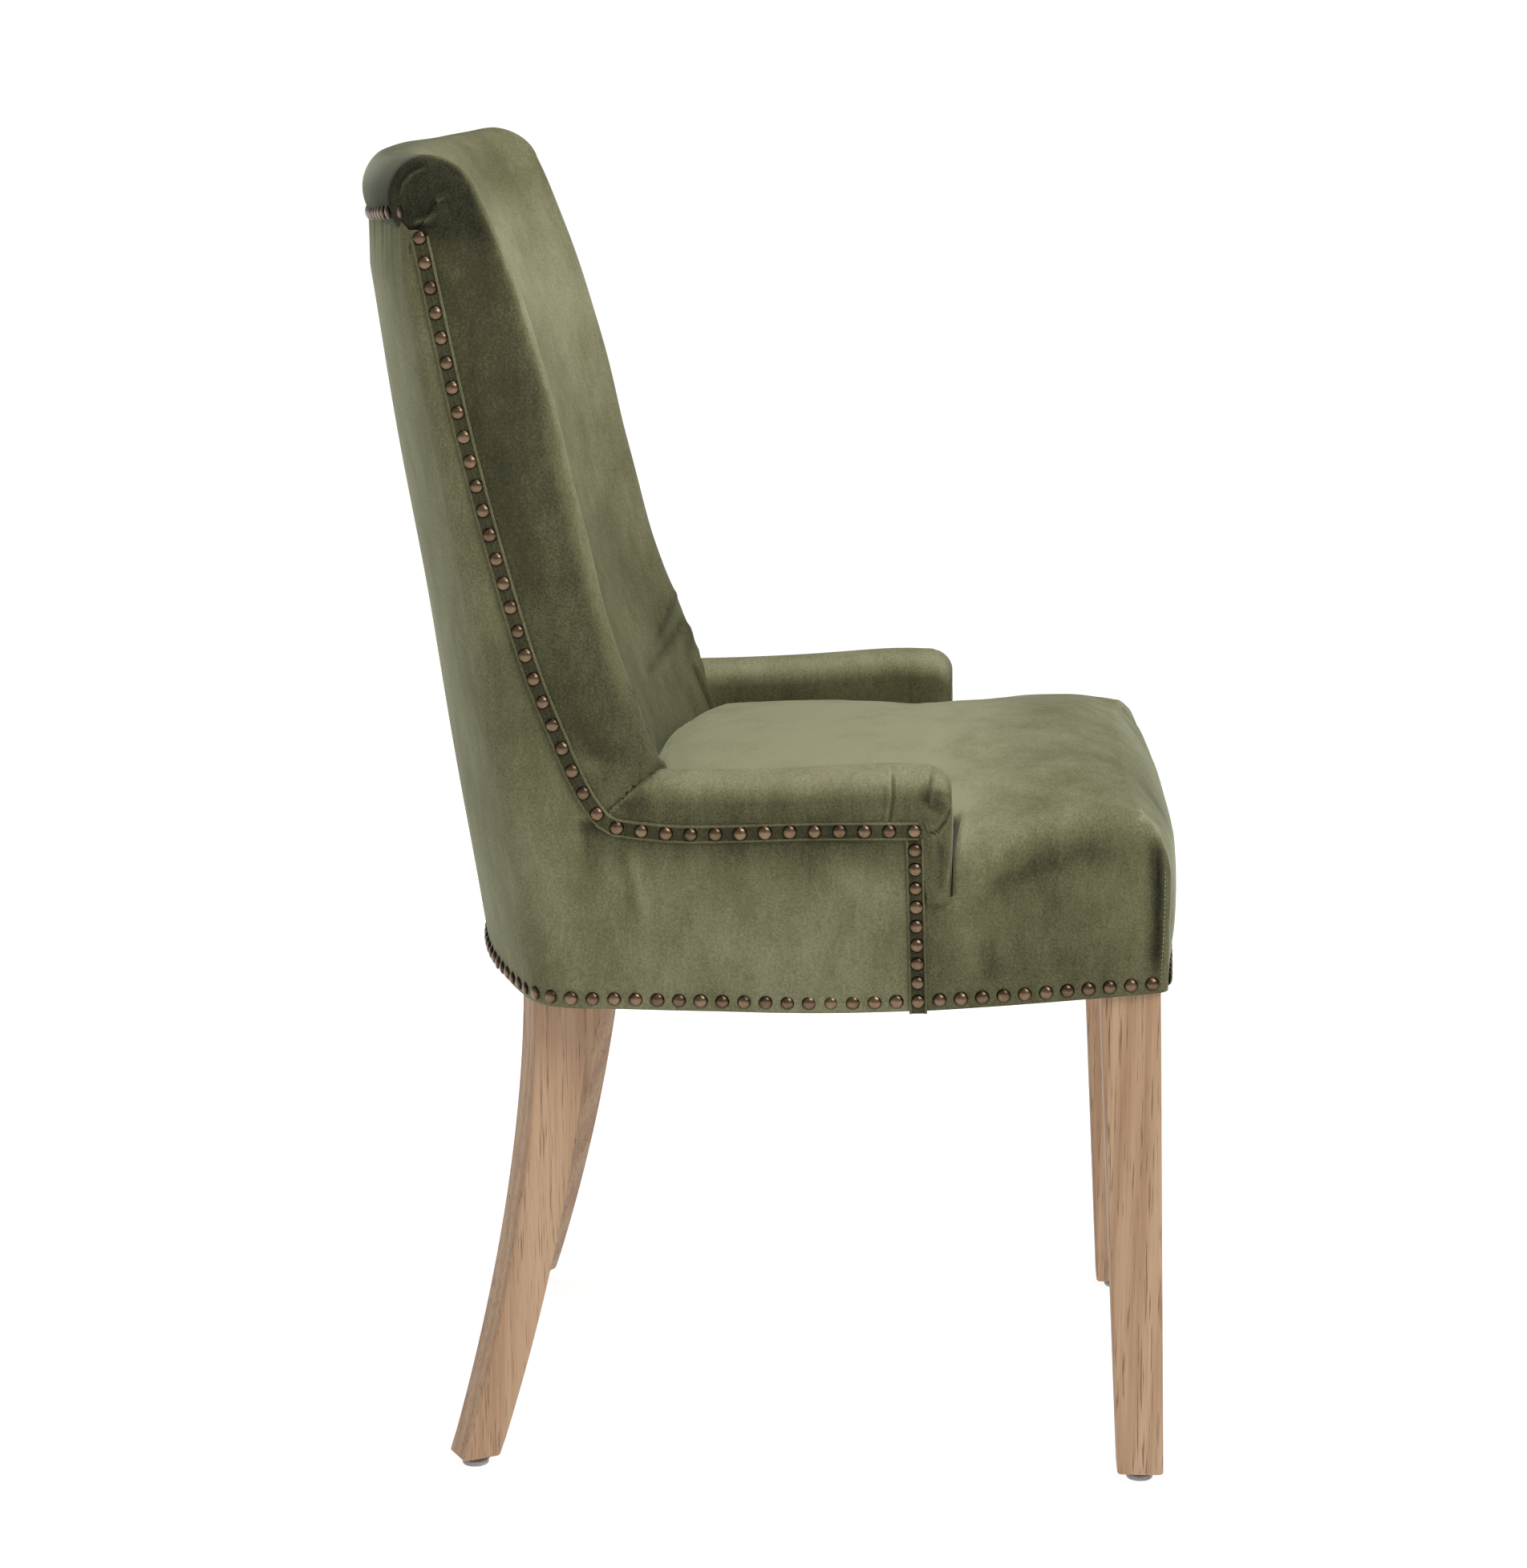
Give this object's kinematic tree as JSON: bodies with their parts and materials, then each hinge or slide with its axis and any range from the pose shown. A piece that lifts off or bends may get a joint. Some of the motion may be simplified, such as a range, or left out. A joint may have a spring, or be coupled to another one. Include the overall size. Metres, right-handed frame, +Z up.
{
  "type": "dining chair",
  "caption": "Upholstered dining chair with a high barrel back rolled over at the top, low padded arms, nailhead trim and tapered wooden legs.",
  "frame": {"origin": "on the floor, under the middle of the chair's bounding box", "axes": "+Z up; the sitter faces -Y; +X is the sitter's left"},
  "size_m": [0.538, 0.6282, 0.995],
  "materials": {
    "velvet": "olive green velvet with a soft sheen",
    "oak": "pale oak, matt lacquer, open grain",
    "beech": "bare hardwood, hidden",
    "foam": "upholstery foam, hidden",
    "webbing": "elastic webbing, hidden",
    "board": "thin bent board, hidden",
    "lining": "black non-woven lining",
    "bronze": "antique bronze domes",
    "glide_plastic": "brown nylon",
    "felt": "grey felt"
  },
  "bodies": {
    "root": {"arm_left_cover": "velvet", "arm_right_cover": "velvet", "arm_left_facing": "velvet", "arm_right_facing": "velvet", "arm_back_left_tape": "velvet", "arm_back_right_tape": "velvet", "arm_front_left_tape": "velvet", "arm_front_right_tape": "velvet", "inside_back_cover": "velvet", "outside_arm_left_panel": "velvet", "outside_arm_right_panel": "velvet", "outside_back_panel": "velvet", "scroll_cover": "velvet", "scroll_left_end": "velvet", "scroll_right_end": "velvet", "seat_cover": "velvet", "front_left_leg": "oak", "front_right_leg": "oak", "rear_left_leg": "oak", "rear_right_leg": "oak", "seat_front_rail": "beech", "seat_left_rail": "beech", "seat_right_rail": "beech", "seat_rear_rail": "beech", "front_left_corner_block": "beech", "front_right_corner_block": "beech", "rear_left_corner_block": "beech", "rear_right_corner_block": "beech", "back_left_post": "beech", "back_right_post": "beech", "back_top_rail": "beech", "back_lower_rail": "beech", "arm_left_post": "beech", "arm_right_post": "beech", "arm_left_rail": "beech", "arm_right_rail": "beech", "seat_foam": "foam", "back_foam": "foam", "scroll_foam": "foam", "arm_left_foam": "foam", "arm_right_foam": "foam", "seat_strap_1": "webbing", "seat_strap_2": "webbing", "seat_strap_3": "webbing", "back_support_board": "board", "dust_cover": "lining", "seat_deck": "lining", "arm_left_nails": "bronze", "arm_right_nails": "bronze", "base_nails": "bronze", "base_front_nails": "bronze", "scroll_nails": "bronze", "front_left_glide_base": "glide_plastic", "front_right_glide_base": "glide_plastic", "rear_left_glide_base": "glide_plastic", "rear_right_glide_base": "glide_plastic", "front_left_glide_pad": "felt", "front_right_glide_pad": "felt", "rear_left_glide_pad": "felt", "rear_right_glide_pad": "felt"}
  },
  "joints": []
}
